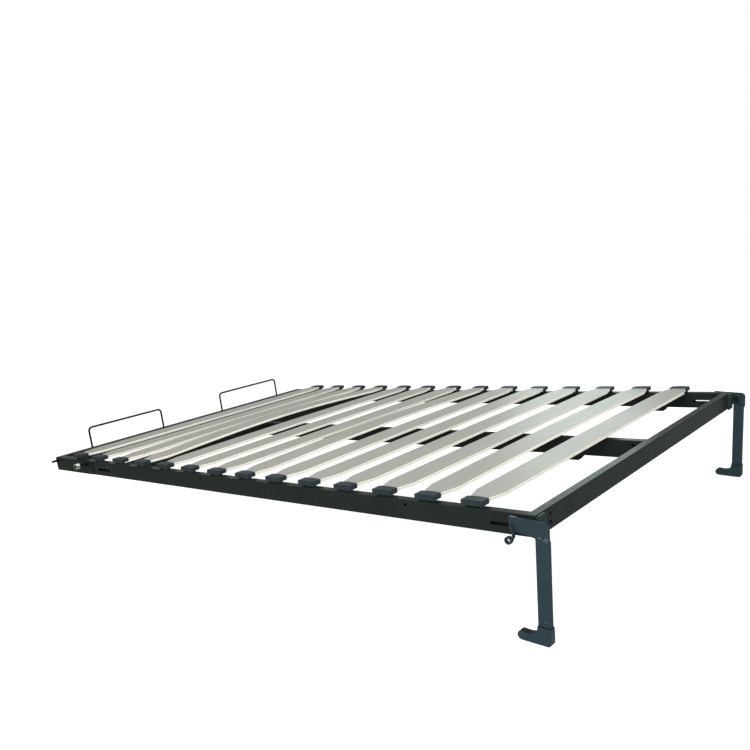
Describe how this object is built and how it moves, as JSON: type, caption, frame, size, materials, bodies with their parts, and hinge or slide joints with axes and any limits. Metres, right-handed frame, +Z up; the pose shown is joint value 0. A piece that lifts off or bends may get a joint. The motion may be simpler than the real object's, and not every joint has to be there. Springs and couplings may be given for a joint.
{
  "type": "fold down wall bed mechanism",
  "caption": "Slatted steel bed frame for a fold-down wall bed, let down: side pivots near the head, folding foot legs, sprung wood slats in plastic holders and wire mattress loops.",
  "frame": {"origin": "on the floor under the middle of the frame's bounding box", "axes": "+X from the head end towards the foot end, +Y to the sleeper's right seen from the foot, +Z up"},
  "size_m": [2.0787, 1.36, 0.3687],
  "materials": {
    "rail_paint": "satin dark grey powder coat",
    "leg_paint": "satin slate powder coat",
    "shoe_plastic": "moulded slate plastic",
    "holder_plastic": "moulded dark slate plastic",
    "slat_wood": "laminated wood with a pale grey foil and cream edges",
    "bush_steel": "bright turned steel",
    "black_steel": "black oxide",
    "loop_wire": "dark grey coated wire",
    "nylon": "natural nylon"
  },
  "bodies": {
    "bed_frame": {"left_side_rail": "rail_paint", "right_side_rail": "rail_paint", "head_rail": "rail_paint", "foot_rail": "rail_paint", "centre_rail": "rail_paint", "cross_rail": "rail_paint", "left_pivot_plate": "rail_paint", "right_pivot_plate": "rail_paint", "left_pivot_stud": "black_steel", "right_pivot_stud": "black_steel", "pivot_lock_nuts": "black_steel", "pivot_clips": "black_steel", "left_strut_stud": "black_steel", "right_strut_stud": "black_steel", "left_hinge_bracket": "leg_paint", "right_hinge_bracket": "leg_paint", "left_leg_pin": "leg_paint", "right_leg_pin": "leg_paint", "leg_spacers": "nylon", "left_slat_holders": "holder_plastic", "right_slat_holders": "holder_plastic", "panel_brackets": "rail_paint", "slat_01": "slat_wood", "slat_02": "slat_wood", "slat_03": "slat_wood", "slat_04": "slat_wood", "slat_05": "slat_wood", "slat_06": "slat_wood", "slat_07": "slat_wood", "slat_08": "slat_wood", "slat_09": "slat_wood", "slat_10": "slat_wood", "slat_11": "slat_wood", "slat_12": "slat_wood", "slat_13": "slat_wood", "slat_14": "slat_wood"},
    "left_leg_body": {"left_leg_tube": "leg_paint", "left_leg_head_plate": "leg_paint", "left_leg_cord_eye": "leg_paint", "left_leg_shoe": "shoe_plastic", "left_leg_rivet": "leg_paint", "left_leg_sleeve": "leg_paint", "left_leg_bush": "nylon", "left_leg_plug": "shoe_plastic"},
    "right_leg_body": {"right_leg_tube": "leg_paint", "right_leg_head_plate": "leg_paint", "right_leg_cord_eye": "leg_paint", "right_leg_shoe": "shoe_plastic", "right_leg_rivet": "leg_paint", "right_leg_sleeve": "leg_paint", "right_leg_bush": "nylon", "right_leg_plug": "shoe_plastic"},
    "left_bush_body": {"left_pivot_bush": "bush_steel"},
    "right_bush_body": {"right_pivot_bush": "bush_steel"},
    "left_loop_body": {"left_mattress_loop": "loop_wire"},
    "right_loop_body": {"right_mattress_loop": "loop_wire"}
  },
  "joints": [
    {"name": "left_leg", "type": "hinge", "parent": "bed_frame", "child": "left_leg_body", "pos_m": [1.01564, 0, 0.26531], "axis": [0, 1, 0], "range_deg": [0, 86.4]},
    {"name": "right_leg", "type": "hinge", "parent": "bed_frame", "child": "right_leg_body", "pos_m": [1.01564, 0, 0.26531], "axis": [0, 1, 0], "range_deg": [0, 86.4]},
    {"name": "left_bed_pivot", "type": "hinge", "parent": "bed_frame", "child": "left_bush_body", "pos_m": [-0.81537, 0, 0.27797], "axis": [0, 1, 0], "range_deg": [0, 90]},
    {"name": "right_bed_pivot", "type": "hinge", "parent": "bed_frame", "child": "right_bush_body", "pos_m": [-0.81537, 0, 0.27797], "axis": [0, 1, 0], "range_deg": [0, 90]},
    {"name": "left_loop", "type": "slide", "parent": "bed_frame", "child": "left_loop_body", "axis": [0, 0, 1], "range_m": [0, 0.04]},
    {"name": "right_loop", "type": "slide", "parent": "bed_frame", "child": "right_loop_body", "axis": [0, 0, 1], "range_m": [0, 0.04]}
  ],
  "couplings": [
    {"joint": "right_bed_pivot", "follows": "left_bed_pivot", "ratio": 1}
  ]
}
